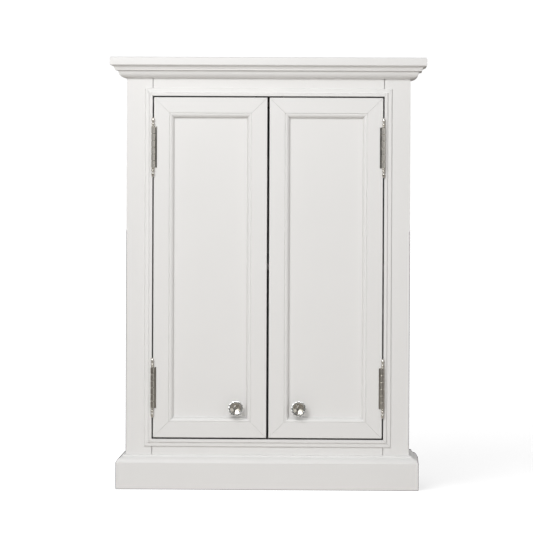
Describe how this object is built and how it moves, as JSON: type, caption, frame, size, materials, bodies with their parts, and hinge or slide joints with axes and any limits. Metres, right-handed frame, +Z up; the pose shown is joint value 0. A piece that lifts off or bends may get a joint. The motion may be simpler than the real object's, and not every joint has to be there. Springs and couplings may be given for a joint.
{
  "type": "two-door wall cabinet",
  "caption": "Painted wall cabinet with moulded cornice and plinth, beaded face frame, inset panelled doors on finial hinges, glass knobs and an adjustable shelf.",
  "frame": {"origin": "centre of the footprint, on the bottom plane of the plinth", "axes": "+Z up, -Y the front with the doors, +Y the wall side, +X to the right of someone facing the doors"},
  "size_m": [0.558, 0.216, 0.762],
  "materials": {
    "painted_wood": "satin warm white paint",
    "interior_paint": "matt warm white paint",
    "polished_nickel": "polished",
    "clear_glass": "polished clear",
    "catch_plastic": "moulded satin, dark brown",
    "magnet_steel": "dull zinc plate"
  },
  "bodies": {
    "cabinet": {"back_panel": "interior_paint", "bead_bottom": "painted_wood", "bead_left": "painted_wood", "bead_right": "painted_wood", "bead_top": "painted_wood", "carcass_bottom": "interior_paint", "carcass_top": "interior_paint", "catch_body": "catch_plastic", "catch_magnet_left": "magnet_steel", "catch_magnet_right": "magnet_steel", "crown_front": "painted_wood", "crown_left": "painted_wood", "crown_right": "painted_wood", "face_rail_bottom": "painted_wood", "face_rail_top": "painted_wood", "face_stile_left": "painted_wood", "face_stile_right": "painted_wood", "hanging_rail": "interior_paint", "hinge_frame_leaf_lower_left": "polished_nickel", "hinge_frame_leaf_lower_right": "polished_nickel", "hinge_frame_leaf_upper_left": "polished_nickel", "hinge_frame_leaf_upper_right": "polished_nickel", "hinge_pin_lower_left": "polished_nickel", "hinge_pin_lower_right": "polished_nickel", "hinge_pin_upper_left": "polished_nickel", "hinge_pin_upper_right": "polished_nickel", "plinth_front": "painted_wood", "plinth_left": "painted_wood", "plinth_right": "painted_wood", "rear_base_rail": "interior_paint", "shelf": "interior_paint", "shelf_pin_front_left": "polished_nickel", "shelf_pin_front_right": "polished_nickel", "shelf_pin_rear_left": "polished_nickel", "shelf_pin_rear_right": "polished_nickel", "side_panel_left": "painted_wood", "side_panel_right": "painted_wood", "top_board": "painted_wood"},
    "left_door": {"catch_strike_left": "polished_nickel", "hinge_door_leaf_lower_left": "polished_nickel", "hinge_door_leaf_upper_left": "polished_nickel", "knob_base_left": "polished_nickel", "knob_bolt_left": "polished_nickel", "knob_glass_left": "clear_glass", "left_door_bottom_rail": "painted_wood", "left_door_hinge_stile": "painted_wood", "left_door_lock_stile": "painted_wood", "left_door_panel": "painted_wood", "left_door_top_rail": "painted_wood"},
    "right_door": {"catch_strike_right": "polished_nickel", "hinge_door_leaf_lower_right": "polished_nickel", "hinge_door_leaf_upper_right": "polished_nickel", "knob_base_right": "polished_nickel", "knob_bolt_right": "polished_nickel", "knob_glass_right": "clear_glass", "right_door_bottom_rail": "painted_wood", "right_door_hinge_stile": "painted_wood", "right_door_lock_stile": "painted_wood", "right_door_panel": "painted_wood", "right_door_top_rail": "painted_wood"}
  },
  "joints": [
    {"name": "left_door_hinge", "type": "hinge", "parent": "cabinet", "child": "left_door", "pos_m": [-0.2033, -0.0881, 0.39113], "axis": [0, 0, -1], "range_deg": [0, 180]},
    {"name": "right_door_hinge", "type": "hinge", "parent": "cabinet", "child": "right_door", "pos_m": [0.2033, -0.0881, 0.39113], "axis": [0, 0, 1], "range_deg": [0, 180]}
  ]
}
